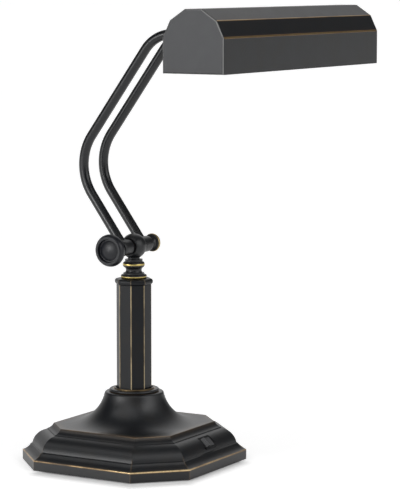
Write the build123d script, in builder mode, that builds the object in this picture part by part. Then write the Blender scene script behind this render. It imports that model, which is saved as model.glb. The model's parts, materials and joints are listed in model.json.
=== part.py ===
from build123d import *
from math import atan2, cos, pi, radians, sin, sqrt, tan
import os

# A desk and piano lamp: an eight-sided moulded foot, an eight-sided column, a turned neck with a
# friction knuckle, two parallel bent tubes and a long folded shade with two tubular bulbs.
# +X runs along the shade, -Y is the side that the lamp faces, and +Z is up. The origin is on the
# table, under the axis of the column. All sizes are in millimetres.

# ---- foot ----
base_half = 104.0  # from the centre to each of the four long sides
corner_cut = 44.5  # taken off each corner, along both of its sides
rim_lift = 1.0  # the rim of the casting stays clear of the table
slab_top = 11.5  # upper edge of the vertical sides
scotia_out = 8.4  # the mouldings, from the slab upwards: how far each steps in ...
scotia_rise = 6.7  # ... and how far it rises
scotia_sag = 1.1
lower_quirk_out = 1.4
lower_quirk_rise = 0.8
ovolo_out = 14.8
ovolo_rise = 15.3
ovolo_bulge = 3.2
upper_quirk_out = 0.9
upper_quirk_rise = 0.9
cove_out = 6.2
cove_rise = 5.9
cove_sag = 0.9
casting_wall = 4.5
arris_r = 0.6  # the slab's and the top plate's edges
plate_land = 0.8  # flat left between the edge of the top plate and the sweep of the bell
bell_rise = 32.0  # from the top plate to the shoulder of the bell
bell_top_r = 31.6
shoulder_in = 2.6  # the rounded edge over the shoulder
shoulder_rise = 1.9
shoulder_bulge = 0.6
roof_thickness = 5.0

# ---- ballast and underside ----
felt_thickness = 2.0
cover_thickness = 1.6
cover_gap = 0.4  # round the cover and the felt, inside the rim
felt_inset = 1.6
weight_thickness = 12.0
weight_inset = 24.0  # from the long sides of the foot
switch_room = 5.0  # cut out of the weight round the switch
weight_bore_r = 22.0
screw_edge = 13.8  # from each cover screw to the weight's corner side
screw_r = 2.0
screw_head_r = 3.8
screw_head_height = 1.5
screw_grip = 12.0  # of a screw in its boss
screw_play = 0.5  # round a screw in the cover and the weight
thread_play = 0.05  # round a screw or the rod in what it is screwed into
boss_r = 5.5
boss_hole_play = 2.0  # left over the tip of a screw

# ---- cord inlet ----
cord_bore_r = 2.6
bushing_wall = 0.8
bushing_flange_r = 3.9
bushing_flange_thickness = 1.2
bushing_tail = 1.2  # past the inside of the wall
bushing_z = 7.5
fit_gap = 0.05  # between a piece and the hole that it is pushed into

# ---- rocker switch, on the front slope ----
switch_x = 2.0
switch_inset = 16.1  # from the front side of the foot to the middle of the switch
switch_seat = 0.6  # the seat's height over the straight slope of the mouldings
bezel_length = 21.0
bezel_width = 15.0
bezel_thickness = 1.5
bezel_corner_r = 1.0
seat_margin = 0.5
housing_length = 19.0
housing_width = 13.0
housing_depth = 13.5
housing_play = 0.2
rocker_end_r = 8.2  # the ends are curved about the pivot
rocker_width = 10.6
rocker_play = 0.3
rocker_depth = 4.0  # below the pivot
rocker_crest = 4.4  # the ends' height over the pivot
rocker_valley = 2.9
rocker_pivot_depth = 1.2  # below the seat
rocker_tilt = 10.0  # to each side, in degrees
pin_r = 1.2
pin_length = 0.7
running_gap = 0.05  # radial, round everything that turns
terminal_width = 4.8
terminal_thickness = 0.8
terminal_length = 6.5
terminal_spread = 5.0

# ---- column ----
seat_height = 3.2  # the turned ring's bead
seat_r = 26.6
seat_collar_r = 21.4
seat_bead_in = 1.6
seat_collar_height = 1.2
seat_floor = 1.5
column_play = 1.0  # the dark gap between the column's edges and the ring
column_r = 18.8  # to the eight edges
column_edge_r = 0.8
column_wall = 2.0
column_length = 113.4
cap_overhang = 1.7
cap_height = 6.4
cap_edge_r = 2.8
spigot_depth = 8.0
spigot_play = 0.15
rod_r = 4.85
rod_bore_r = 3.2
rod_tail = 4.0  # below the nut
washer_r = 12.0
washer_thickness = 1.8
rod_nut_across = 16.0
rod_nut_height = 6.0

# ---- turned neck ----
lower_bead_r = 13.8
lower_bead_height = 4.4
bead_round = 1.9
step_r = 11.0
step_height = 1.6
waist_r = 8.3
waist_end_r = 9.6
waist_height = 5.5
upper_bead_r = 11.7
upper_bead_height = 6.4
collar_r = 9.3
collar_height = 2.4
rod_reach = 8.0  # of the rod into the neck
tenon_r = 4.0
tenon_length = 8.0

# ---- lower knuckle ----
pivot_z = 230.5
ball_r = 13.5
ball_flat = 9.5  # half the width across the ball's two flat sides
ball_stub_r = 6.3
wire_bore_r = 2.2
axle_r = 3.0
friction_washer_r = 7.0
friction_washer_thickness = 0.8
face_gap = 0.05  # between the flat faces that turn on each other
hub_length = 17.6
hub_r = 8.5
hub_neck_r = 7.1
hub_taper = 4.4
tube_spread = 19.2  # from the middle plane to each tube
tube_seat = 4.0  # the tubes' ends stop this far from the axles
knob_stem_r = 5.2
knob_stem_length = 13.0
knob_r = 17.0
knob_thickness = 10.0
knob_edge_r = 2.4
knob_rim = 4.6
knob_groove_depth = 3.0
knob_groove_slant = 0.8
knob_dome_r = 10.6
knob_dome_rise = 2.6
knob_gap = 0.5
knob_web = 2.6  # left over the end of the axle
insert_wall = 1.0
end_barrel_r = 5.4
end_barrel_length = 7.0
end_barrel_edge = 1.0  # its chamfered foot against the hub
end_flare = 1.6
end_knob_r = 9.8
end_knob_edge_r = 2.2
end_knob_thickness = 5.2
end_knob_dome = 2.6

# ---- arm, as seen from the side ----
tube_r = 5.15
tube_wall = 1.0
elbow_y = 62.4
elbow_z = 316.5
elbow_bend_r = 53.0
crook_y = -40.7
crook_z = 458.1
crook_bend_r = 40.0
upper_y = -116.0
upper_z = 449.0

# ---- upper knuckle ----
shade_ball_r = 11.0
shade_ball_flat = 9.5
shade_stem_r = 5.6
shade_flange_r = 7.4
shade_flange_thickness = 2.0
flange_edge = 0.5
nipple_r = 4.0
nipple_bore_r = 2.6
nipple_depth = 7.0  # of the nipple in the knuckle and in the socket cluster
shade_nut_across = 12.0
shade_nut_height = 4.0
upper_cap_r = 7.6
upper_cap_length = 9.0
upper_cap_edge = 3.0

# ---- shade ----
shade_length = 332.0
shade_half = 33.6
shade_back_gap = 20.5  # from the upper axle to the back of the shade
shade_drop = 26.7  # from the upper axle down to the shade's lower edge
side_height = 34.5
haunch_half = 25.7
haunch_height = 50.9
crown_half = 9.0
shade_height = 61.9
sheet = 1.2
fold_r = 1.6  # outside, where the sheet is folded
end_plate = 2.0  # the end caps are thicker than the shell
end_edge_r = 1.4  # the rounded edge of the end caps
end_joint = 0.4  # the fine groove where an end cap meets the shell
cap_lip = 3.0
lip_bend_r = 1.9
cap_play = 0.1

# ---- lampholders and bulbs ----
cluster_r = 13.5
cluster_half = 13.0
cluster_boss_r = 7.5
cluster_boss_reach = 5.5
socket_r = 17.0
socket_length = 32.0
socket_floor = 6.0
socket_edge_r = 1.5
screw_shell_wall = 0.5
contact_r = 4.0
contact_thickness = 1.2
bulb_cap_r = 13.1
bulb_cap_length = 24.0
bulb_cap_wall = 0.4
bulb_contact_rise = 1.6
bulb_r = 16.0
bulb_wall = 0.8
bulb_length = 130.0  # over all
bulb_neck_length = 7.0

# ---- sizes that follow ----
diagonal_half = (2 * base_half - corner_cut) / sqrt(2)
moulding_out = scotia_out + lower_quirk_out + ovolo_out + upper_quirk_out + cove_out
moulding_rise = scotia_rise + lower_quirk_rise + ovolo_rise + upper_quirk_rise + cove_rise
slope = atan2(moulding_rise, moulding_out)
plate_half = base_half - moulding_out
plate_z = slab_top + moulding_rise
bell_foot_r = plate_half - plate_land
casting_top = plate_z + bell_rise + shoulder_rise
cover_z = felt_thickness + cover_thickness
weight_top = cover_z + weight_thickness
screw_length = weight_top - felt_thickness + screw_grip
screw_spread = (diagonal_half - weight_inset - screw_edge) / sqrt(2)
roof_z = casting_top - roof_thickness
column_foot_z = casting_top + seat_floor
column_top_z = column_foot_z + column_length
neck_z = column_top_z + cap_height
waist_z = neck_z + lower_bead_height + step_height
bead_z = waist_z + waist_height
collar_z = bead_z + upper_bead_height
neck_top_z = collar_z + collar_height
rod_top_z = neck_z + rod_reach
rod_bottom_z = roof_z - washer_thickness - rod_nut_height - rod_tail
washer_start = ball_flat + face_gap
hub_start = washer_start + friction_washer_thickness + face_gap
hub_end = hub_start + hub_length
knob_start = hub_end + knob_gap
knob_head = knob_start + knob_stem_length
knob_end = knob_head + knob_thickness
axle_left = knob_end - knob_groove_depth - knob_web
axle_right = hub_end + end_barrel_length
insert_r = axle_r + running_gap + insert_wall
shade_back_y = upper_y - shade_back_gap
shade_y = shade_back_y - shade_half
shade_bottom_z = upper_z - shade_drop
cap_x = shade_length / 2 - end_plate
bulb_r_in_cap = bulb_cap_r - bulb_cap_wall - fit_gap
shell_r = bulb_cap_r + fit_gap + screw_shell_wall
socket_bore_r = shell_r + fit_gap
socket_start = cluster_half
socket_end = socket_start + socket_length
bulb_start = socket_start + socket_floor + contact_thickness + fit_gap

lower_foot = Vector(0, 0, pivot_z)
elbow = Vector(0, elbow_y, elbow_z)
crook = Vector(0, crook_y, crook_z)
upper_foot = Vector(0, upper_y, upper_z)
lower_leg = (elbow - lower_foot).normalized()
upper_leg = (crook - upper_foot).normalized()

lower_side = Plane(origin=(0, 0, pivot_z), x_dir=(1, 0, 0), z_dir=(0, -1, 0))
lower_axis = Axis((0, 0, pivot_z), (1, 0, 0))
upper_side = Plane(origin=(0, upper_y, upper_z), x_dir=(1, 0, 0), z_dir=(0, -1, 0))
upper_axis = Axis((0, upper_y, upper_z), (1, 0, 0))
bulb_side = Plane(origin=(0, shade_y, upper_z), x_dir=(1, 0, 0), z_dir=(0, -1, 0))
bulb_axis = Axis((0, shade_y, upper_z), (1, 0, 0))
shade_end = Plane(origin=(0, shade_y, shade_bottom_z), x_dir=(0, -1, 0), z_dir=(-1, 0, 0))
switch_seat_plane = Plane(
    origin=(
        switch_x,
        -(base_half - switch_inset) - switch_seat * sin(slope),
        slab_top + switch_inset * tan(slope) + switch_seat * cos(slope),
    ),
    x_dir=(1, 0, 0),
    z_dir=(0, -sin(slope), cos(slope)),
)
terminal_tip = switch_seat_plane.offset(-(housing_depth + terminal_length)).origin
notch_depth = terminal_tip.Y + terminal_width / 2 * cos(slope) + switch_room + base_half - weight_inset
screw_places = [(x, y) for x in (-screw_spread, screw_spread) for y in (-screw_spread, screw_spread)]
sides = {"left": -1, "right": 1}

os.makedirs("parts", exist_ok=True)


def save(piece, label):
    """Name a finished piece and write it to its own file."""
    piece.part.label = label
    export_step(piece.part, f"parts/{label}.step")


# ---- foot: casting, ballast and underside ----


def octagon(plane, inset):
    """The foot's outline on a plane, moved in by the same amount on all eight sides."""
    with BuildSketch(plane) as outline:
        Rectangle(2 * (base_half - inset), 2 * (base_half - inset))
        chamfer(outline.vertices(), corner_cut - inset * (2 - sqrt(2)))
    return outline.sketch


def moulding_section(half, turn):
    """The foot's section between two opposite sides that lie `half` from the centre."""
    with BuildSketch(Plane.XZ.rotated((0, 0, turn))) as section:
        with BuildLine():
            rim = Line((half, rim_lift), (half, slab_top))
            scotia = SagittaArc(rim @ 1, rim @ 1 + Vector(-scotia_out, scotia_rise), scotia_sag)
            lower_quirk = Line(scotia @ 1, scotia @ 1 + Vector(-lower_quirk_out, lower_quirk_rise))
            ovolo_top = lower_quirk @ 1 + Vector(-ovolo_out, ovolo_rise)
            ovolo = SagittaArc(lower_quirk @ 1, ovolo_top, -ovolo_bulge)
            upper_quirk = Line(ovolo @ 1, ovolo @ 1 + Vector(-upper_quirk_out, upper_quirk_rise))
            cove = SagittaArc(upper_quirk @ 1, upper_quirk @ 1 + Vector(-cove_out, cove_rise), cove_sag)
            Polyline(cove @ 1, (0, plate_z), (0, rim_lift), (half, rim_lift))
        make_face()
        fillet(section.vertices().sort_by_distance((half, slab_top))[0], arris_r)
        fillet(section.vertices().sort_by_distance(cove @ 1)[0], arris_r)
        mirror(about=Plane.YZ)
    return section.sketch


def hollow_section(half, turn):
    """The section of the space inside the foot, a wall's thickness behind the mouldings."""
    wall = casting_wall
    with BuildSketch(Plane.XZ.rotated((0, 0, turn))) as section:
        with BuildLine():
            Polyline(
                (half - wall, 0),
                (half - wall, slab_top - wall * tan((pi / 2 - slope) / 2)),
                (half - moulding_out - wall * tan(slope / 2), plate_z - wall),
                (0, plate_z - wall),
                (0, 0),
                close=True,
            )
        make_face()
        mirror(about=Plane.YZ)
    return section.sketch


def bell_section():
    """Half section of the bell, which leaves the top plate in a sweep and ends in a shoulder."""
    with BuildSketch(Plane.XZ) as section:
        with BuildLine():
            sweep = TangentArc(
                (bell_foot_r, plate_z), (bell_top_r, plate_z + bell_rise), tangent=(-1, 0)
            )
            edge = SagittaArc(sweep @ 1, (bell_top_r - shoulder_in, casting_top), -shoulder_bulge)
            Polyline(
                edge @ 1,
                (0, casting_top),
                (0, plate_z - casting_wall),
                (bell_foot_r, plate_z - casting_wall),
                sweep @ 0,
            )
        make_face()
    return section.sketch


def bell_hollow_section():
    """Half section of the space inside the bell."""
    under = plate_z - casting_wall
    with BuildSketch(Plane.XZ) as section:
        with BuildLine():
            sweep = TangentArc((bell_foot_r, under), (bell_top_r - casting_wall, roof_z), tangent=(-1, 0))
            Polyline(sweep @ 1, (0, roof_z), (0, under - casting_wall), (bell_foot_r, under - casting_wall))
            Line((bell_foot_r, under - casting_wall), sweep @ 0)
        make_face()
    return section.sketch


turns = {0: base_half, 45: diagonal_half, 90: base_half, 135: diagonal_half}

with BuildPart() as foot_hollow:  # the space inside the foot, cut out of the casting
    for turn, half in turns.items():
        crossing = Mode.ADD if turn == 0 else Mode.INTERSECT
        extrude(hollow_section(half, turn), amount=2 * base_half, both=True, mode=crossing)
    revolve(bell_hollow_section(), axis=Axis.Z)
    with BuildSketch(Plane.XY.offset(weight_top)):  # the screws' bosses are left standing
        with Locations(*screw_places):
            Circle(boss_r)
    extrude(amount=plate_z - weight_top, mode=Mode.SUBTRACT)

with BuildPart() as base_casting:
    for turn, half in turns.items():  # four crossed mouldings meet in mitres
        crossing = Mode.ADD if turn == 0 else Mode.INTERSECT
        extrude(moulding_section(half, turn), amount=2 * base_half, both=True, mode=crossing)
    revolve(bell_section(), axis=Axis.Z)
    add(foot_hollow.part, mode=Mode.SUBTRACT)
    with BuildSketch(Plane.XY.offset(roof_z)):
        Circle(rod_r + thread_play)
    extrude(amount=roof_thickness, mode=Mode.SUBTRACT)
    with BuildSketch(Plane.XY.offset(weight_top)):
        with Locations(*screw_places):
            Circle(screw_r + thread_play)
    extrude(amount=screw_grip + boss_hole_play, mode=Mode.SUBTRACT)
    with BuildSketch(switch_seat_plane):  # flat seat of the switch
        RectangleRounded(bezel_length + 2 * seat_margin, bezel_width + 2 * seat_margin, bezel_corner_r)
    extrude(amount=2 * ovolo_bulge, mode=Mode.SUBTRACT)
    with BuildSketch(switch_seat_plane):
        Rectangle(housing_length + 2 * housing_play, housing_width + 2 * housing_play)
    extrude(amount=-housing_depth, mode=Mode.SUBTRACT)
    with BuildSketch(Plane.XZ.offset(-base_half)):  # cord inlet, in the back
        with Locations((0, bushing_z)):
            Circle(cord_bore_r + bushing_wall + fit_gap)
    extrude(amount=2 * casting_wall, mode=Mode.SUBTRACT)
save(base_casting, "base_casting")

with BuildPart() as base_weight:
    extrude(octagon(Plane.XY.offset(cover_z), weight_inset), amount=weight_thickness)
    with BuildSketch(Plane.XY.offset(cover_z)):
        Circle(weight_bore_r)
        with Locations(*screw_places):
            Circle(screw_r + screw_play)
        with Locations((switch_x, -(base_half - weight_inset))):
            Rectangle(housing_length + 2 * switch_room, notch_depth, align=(Align.CENTER, Align.MIN))
    extrude(amount=weight_thickness, mode=Mode.SUBTRACT)
save(base_weight, "base_weight")

with BuildPart() as bottom_cover:
    extrude(octagon(Plane.XY.offset(felt_thickness), casting_wall + cover_gap), amount=cover_thickness)
    with Locations([(x, y, felt_thickness) for x, y in screw_places]):
        with Locations(Rotation(180, 0, 0)):
            CounterSinkHole(screw_r + screw_play, screw_head_r + thread_play, depth=2 * cover_thickness)
save(bottom_cover, "bottom_cover")

with BuildPart() as felt_pad:
    extrude(octagon(Plane.XY, casting_wall + felt_inset), amount=felt_thickness)
save(felt_pad, "felt_pad")

with BuildPart() as cover_screws:
    with Locations([(x, y, felt_thickness) for x, y in screw_places]):
        Cone(screw_head_r, screw_r, screw_head_height, align=(Align.CENTER, Align.CENTER, Align.MIN))
        Cylinder(screw_r, screw_length, align=(Align.CENTER, Align.CENTER, Align.MIN))
save(cover_screws, "cover_screws")

with BuildPart() as cord_bushing:
    bushing_face = Plane.XZ.offset(-base_half - bushing_flange_thickness)
    bushing_length = bushing_flange_thickness + casting_wall + bushing_tail
    with BuildSketch(bushing_face):
        with Locations((0, bushing_z)):
            Circle(cord_bore_r + bushing_wall)
            Circle(cord_bore_r, mode=Mode.SUBTRACT)
    extrude(amount=bushing_length)
    with BuildSketch(bushing_face):
        with Locations((0, bushing_z)):
            Circle(bushing_flange_r)
            Circle(cord_bore_r, mode=Mode.SUBTRACT)
    extrude(amount=bushing_flange_thickness)
save(cord_bushing, "cord_bushing")


# ---- rocker switch ----

pivot_plane = switch_seat_plane.offset(-rocker_pivot_depth)
slot_length = 2 * (rocker_end_r + rocker_play)
slot_width = rocker_width + 2 * rocker_play

with BuildPart() as switch_housing:
    with BuildSketch(switch_seat_plane):
        RectangleRounded(bezel_length, bezel_width, bezel_corner_r)
    extrude(amount=bezel_thickness)
    with BuildSketch(switch_seat_plane):
        Rectangle(housing_length, housing_width)
    extrude(amount=-housing_depth)
    slot_floor = rocker_pivot_depth + rocker_depth + rocker_end_r * sin(radians(rocker_tilt))
    with BuildSketch(switch_seat_plane.offset(bezel_thickness)):
        Rectangle(slot_length, slot_width)
    extrude(amount=-(bezel_thickness + slot_floor), mode=Mode.SUBTRACT)
    pin_line = Plane(pivot_plane.origin, x_dir=pivot_plane.x_dir, z_dir=pivot_plane.y_dir)
    with BuildSketch(pin_line):
        Circle(pin_r + running_gap)
    extrude(amount=rocker_width / 2 + pin_length + running_gap, both=True, mode=Mode.SUBTRACT)
save(switch_housing, "switch_housing")

with BuildPart() as switch_rocker:  # it rests with its right end pressed
    tilted = Plane(
        pivot_plane.origin,
        x_dir=pivot_plane.x_dir * cos(radians(rocker_tilt)) - pivot_plane.z_dir * sin(radians(rocker_tilt)),
        z_dir=-pivot_plane.y_dir,
    )
    crest_x = sqrt(rocker_end_r**2 - rocker_crest**2)
    heel_x = sqrt(rocker_end_r**2 - rocker_depth**2)
    with BuildSketch(tilted):
        with BuildLine():
            right = ThreePointArc((heel_x, -rocker_depth), (rocker_end_r, 0), (crest_x, rocker_crest))
            left = ThreePointArc((-heel_x, -rocker_depth), (-rocker_end_r, 0), (-crest_x, rocker_crest))
            Polyline(right @ 1, (0, rocker_valley), left @ 1)
            Line(right @ 0, left @ 0)
        make_face()
    extrude(amount=rocker_width / 2, both=True)
    with BuildSketch(tilted):
        Circle(pin_r)
    extrude(amount=rocker_width / 2 + pin_length, both=True)
save(switch_rocker, "switch_rocker")

with BuildPart() as switch_terminals:
    with BuildSketch(switch_seat_plane.offset(-housing_depth)):
        with Locations((-terminal_spread, 0), (terminal_spread, 0)):
            Rectangle(terminal_thickness, terminal_width)
    extrude(amount=-terminal_length)
save(switch_terminals, "switch_terminals")


# ---- column and neck ----

with BuildPart() as column_seat:
    with BuildSketch(Plane.XZ):
        with BuildLine():
            bead = SagittaArc(
                (seat_r - seat_bead_in, casting_top),
                (seat_r - seat_bead_in, casting_top + seat_height),
                -seat_bead_in,
            )
            Polyline(
                bead @ 1,
                (seat_collar_r, casting_top + seat_height),
                (seat_collar_r, casting_top + seat_height + seat_collar_height),
                (column_r + column_play, casting_top + seat_height + seat_collar_height),
                (column_r + column_play, column_foot_z),
                (rod_r + thread_play, column_foot_z),
                (rod_r + thread_play, casting_top),
                bead @ 0,
            )
        make_face()
    revolve(axis=Axis.Z)
save(column_seat, "column_seat")


def eight_edges(radius, mode=Mode.ADD):
    """Regular octagon with flats square to X and Y, given the distance of its edges."""
    return RegularPolygon(radius, 8, rotation=22.5, mode=mode)


with BuildPart() as column_tube:
    with BuildSketch(Plane.XY.offset(column_foot_z)) as column_section:
        eight_edges(column_r)
        fillet(column_section.vertices(), column_edge_r)
        eight_edges(column_r - column_wall / cos(pi / 8), mode=Mode.SUBTRACT)
    extrude(amount=column_length)
save(column_tube, "column_tube")

with BuildPart() as column_cap:
    with BuildSketch(Plane.XY.offset(column_top_z)):
        eight_edges(column_r + cap_overhang)
    extrude(amount=cap_height)
    fillet(column_cap.edges().filter_by(Axis.Z), column_edge_r)
    fillet(column_cap.faces().filter_by(Axis.Z).edges(), cap_edge_r)
    with BuildSketch(Plane.XY.offset(column_top_z)):
        eight_edges(column_r - (column_wall + spigot_play) / cos(pi / 8))
    extrude(amount=-spigot_depth)
    with BuildSketch(Plane.XY.offset(neck_z)):
        Circle(rod_r + thread_play)
    extrude(amount=-(cap_height + spigot_depth), mode=Mode.SUBTRACT)
save(column_cap, "column_cap")

with BuildPart() as threaded_rod:
    with BuildSketch(Plane.XY.offset(rod_bottom_z)):
        Circle(rod_r)
        Circle(rod_bore_r, mode=Mode.SUBTRACT)
    extrude(amount=rod_top_z - rod_bottom_z)
save(threaded_rod, "threaded_rod")

with BuildPart() as rod_washer:
    with BuildSketch(Plane.XY.offset(roof_z)):
        Circle(washer_r)
        Circle(rod_r + thread_play, mode=Mode.SUBTRACT)
    extrude(amount=-washer_thickness)
save(rod_washer, "rod_washer")

with BuildPart() as rod_nut:
    with BuildSketch(Plane.XY.offset(roof_z - washer_thickness)):
        RegularPolygon(rod_nut_across / 2, 6, major_radius=False)
        Circle(rod_r + thread_play, mode=Mode.SUBTRACT)
    extrude(amount=-rod_nut_height)
save(rod_nut, "rod_nut")

with BuildPart() as neck:
    with BuildSketch(Plane.XZ):
        with BuildLine():
            lower_bead = SagittaArc(
                (lower_bead_r - bead_round, neck_z),
                (lower_bead_r - bead_round, neck_z + lower_bead_height),
                -bead_round,
            )
            step = Polyline(lower_bead @ 1, (step_r, neck_z + lower_bead_height), (step_r, waist_z))
            waist = SagittaArc((waist_end_r, waist_z), (waist_end_r, bead_z), waist_end_r - waist_r)
            Line(step @ 1, waist @ 0)
            upper_bead = SagittaArc(
                (upper_bead_r - bead_round, bead_z), (upper_bead_r - bead_round, collar_z), -bead_round
            )
            Line(waist @ 1, upper_bead @ 0)
            Polyline(
                upper_bead @ 1,
                (collar_r, collar_z),
                (collar_r, neck_top_z),
                (tenon_r + thread_play, neck_top_z),
                (tenon_r + thread_play, neck_top_z - tenon_length),
                (rod_bore_r, neck_top_z - tenon_length),
                (rod_bore_r, rod_top_z),
                (rod_r + thread_play, rod_top_z),
                (rod_r + thread_play, neck_z),
                lower_bead @ 0,
            )
        make_face()
    revolve(axis=Axis.Z)
save(neck, "neck")


def ball_section(middle, radius, flat):
    """Half section of a ball with two flat sides and an axle's bore through them."""
    bore = axle_r + running_gap
    flat_r = sqrt(radius**2 - flat**2)
    with BuildSketch(middle) as section:
        with BuildLine():
            ThreePointArc((-flat, flat_r), (0, radius), (flat, flat_r))
            Polyline((flat, flat_r), (flat, bore), (-flat, bore), (-flat, flat_r))
        make_face()
    return section.sketch


def axle_bore(pivot, flat):
    """The axle's hole as it shows on the flat side of a ball at -X."""
    with BuildSketch(Plane.YZ.offset(-flat)) as hole:
        with Locations((pivot.Y, pivot.Z)):
            Circle(axle_r + running_gap)
    return hole.sketch


with BuildPart() as knuckle_ball:
    revolve(ball_section(lower_side, ball_r, ball_flat), axis=lower_axis)
    with BuildSketch(Plane.XY.offset(neck_top_z)):
        Circle(ball_stub_r)
    extrude(amount=pivot_z - neck_top_z - axle_r - running_gap)
    with BuildSketch(Plane.XY.offset(neck_top_z)):
        Circle(tenon_r)
    extrude(amount=-tenon_length)
    with BuildSketch(Plane.XY.offset(neck_top_z - tenon_length)):  # the wires' way up
        Circle(wire_bore_r)
    extrude(amount=pivot_z - neck_top_z + tenon_length, mode=Mode.SUBTRACT)
    extrude(axle_bore(lower_foot, ball_flat), amount=2 * ball_flat, mode=Mode.SUBTRACT)
save(knuckle_ball, "knuckle_ball")


# ---- arm ----


def build_hub(pivot, leg, side):
    """A turned barrel on an axle, with a blind hole for the end of one tube."""
    middle = Plane(origin=pivot, x_dir=(side, 0, 0), z_dir=(0, -side, 0))
    with BuildPart() as hub:
        with BuildSketch(middle):
            with BuildLine():
                swell = Spline(
                    (hub_start, hub_neck_r),
                    (hub_start + hub_length / 2, hub_r),
                    (hub_end, hub_neck_r),
                    tangents=[(1, hub_taper), (1, -hub_taper)],
                    tangent_scalars=(0.6, 0.6),
                )
                Polyline(
                    swell @ 1,
                    (hub_end, axle_r + running_gap),
                    (hub_start, axle_r + running_gap),
                    swell @ 0,
                )
            make_face()
        revolve(axis=Axis(pivot, (1, 0, 0)))
        socket_mouth = pivot + Vector(side * tube_spread, 0, 0) + leg * tube_seat
        with BuildSketch(Plane(origin=socket_mouth, x_dir=(1, 0, 0), z_dir=leg)):
            Circle(tube_r + fit_gap)
        extrude(amount=2 * hub_r, mode=Mode.SUBTRACT)
    return hub


for name, side in sides.items():
    save(build_hub(lower_foot, lower_leg, side), f"lower_hub_{name}")
    save(build_hub(upper_foot, upper_leg, side), f"upper_hub_{name}")


def build_arm_tube(side):
    """One bent tube, from the lower hub over the elbow and the crook to the upper hub."""
    across = Vector(side * tube_spread, 0, 0)
    start = lower_foot + lower_leg * tube_seat + across
    finish = upper_foot + upper_leg * tube_seat + across
    with BuildPart() as tube:
        with BuildLine() as route:
            FilletPolyline(
                start, elbow + across, crook + across, finish, radius=[elbow_bend_r, crook_bend_r]
            )
        with BuildSketch(Plane(origin=start, x_dir=(1, 0, 0), z_dir=lower_leg)):
            Circle(tube_r)
            Circle(tube_r - tube_wall, mode=Mode.SUBTRACT)
        sweep(path=route.wires()[0])
    return tube


for name, side in sides.items():
    save(build_arm_tube(side), f"arm_tube_{name}")


def build_axle(pivot, start, finish):
    """A plain axle along X."""
    with BuildPart() as axle:
        with BuildSketch(Plane.YZ.offset(start)):
            with Locations((pivot.Y, pivot.Z)):
                Circle(axle_r)
        extrude(amount=finish - start)
    return axle


def build_washers(pivot):
    """A pair of friction washers, one on each side of the knuckle's ball."""
    with BuildPart() as washers:
        for side in sides.values():
            with BuildSketch(Plane.YZ.offset(side * washer_start)):
                with Locations((pivot.Y, pivot.Z)):
                    Circle(friction_washer_r)
                    Circle(axle_r + running_gap, mode=Mode.SUBTRACT)
            extrude(amount=side * friction_washer_thickness)
    return washers


save(build_axle(lower_foot, -axle_left, axle_right), "lower_axle")
save(build_axle(upper_foot, -axle_right, axle_right), "upper_axle")
save(build_washers(lower_foot), "lower_washers")
save(build_washers(upper_foot), "upper_washers")

with BuildPart() as lock_knob:
    with BuildSketch(Plane(origin=lower_foot, x_dir=(-1, 0, 0), z_dir=(0, 1, 0))):
        with BuildLine():
            stem = Polyline(
                (knob_start, insert_r + fit_gap),
                (knob_start, knob_stem_r),
                (knob_head - knob_edge_r, knob_stem_r),
                (knob_head, knob_stem_r + knob_edge_r),
                (knob_head, knob_r - knob_edge_r),
            )
            edge = SagittaArc(stem @ 1, (knob_end, knob_r - knob_edge_r), knob_edge_r)
            groove_floor = knob_end - knob_groove_depth
            groove = Polyline(
                edge @ 1,
                (knob_end, knob_r - knob_rim),
                (groove_floor, knob_r - knob_rim - knob_groove_slant),
                (groove_floor, knob_dome_r),
            )
            dome = TangentArc((groove_floor + knob_dome_rise, 0), groove @ 1, tangent=(0, 1))
            Polyline(
                dome @ 0,
                (axle_left, 0),
                (axle_left, insert_r + fit_gap),
                (knob_start, insert_r + fit_gap),
            )
        make_face()
    revolve(axis=lower_axis)
save(lock_knob, "lock_knob")

with BuildPart() as knob_insert:  # the threaded bush that the knob is moulded round
    with BuildSketch(Plane.YZ.offset(-knob_start)):
        with Locations((0, pivot_z)):
            Circle(insert_r)
            Circle(axle_r + running_gap, mode=Mode.SUBTRACT)
    extrude(amount=-(axle_left - knob_start))
save(knob_insert, "knob_insert")

with BuildPart() as end_knob:
    with BuildSketch(lower_side):
        with BuildLine():
            barrel = Polyline(
                (hub_end, axle_r + fit_gap),
                (hub_end, end_barrel_r + end_barrel_edge),
                (hub_end + end_barrel_edge, end_barrel_r),
            )
            flare = SagittaArc(barrel @ 1, (axle_right, end_barrel_r + end_flare), -end_flare / 2)
            back = Line(flare @ 1, (axle_right, end_knob_r - end_knob_edge_r))
            rim_edge = SagittaArc(
                back @ 1, (axle_right + end_knob_thickness, end_knob_r - end_knob_edge_r), end_knob_edge_r
            )
            crown = axle_right + end_knob_thickness + end_knob_dome
            face = TangentArc((crown, 0), rim_edge @ 1, tangent=(0, 1))
            Polyline(face @ 0, (axle_right, 0), (axle_right, axle_r + fit_gap), barrel @ 0)
        make_face()
    revolve(axis=lower_axis)
save(end_knob, "end_knob")

with BuildPart() as upper_caps:
    with BuildSketch(upper_side):
        with BuildLine():
            skirt = Polyline(
                (hub_end, axle_r + fit_gap), (hub_end, upper_cap_r), (hub_end + upper_cap_edge, upper_cap_r)
            )
            dome = TangentArc((hub_end + upper_cap_length, 0), skirt @ 1, tangent=(0, 1))
            Polyline(dome @ 0, (axle_right, 0), (axle_right, axle_r + fit_gap), skirt @ 0)
        make_face()
    revolve(axis=upper_axis)
    mirror(about=Plane.YZ)
save(upper_caps, "upper_caps")


# ---- what carries the shade ----

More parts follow.
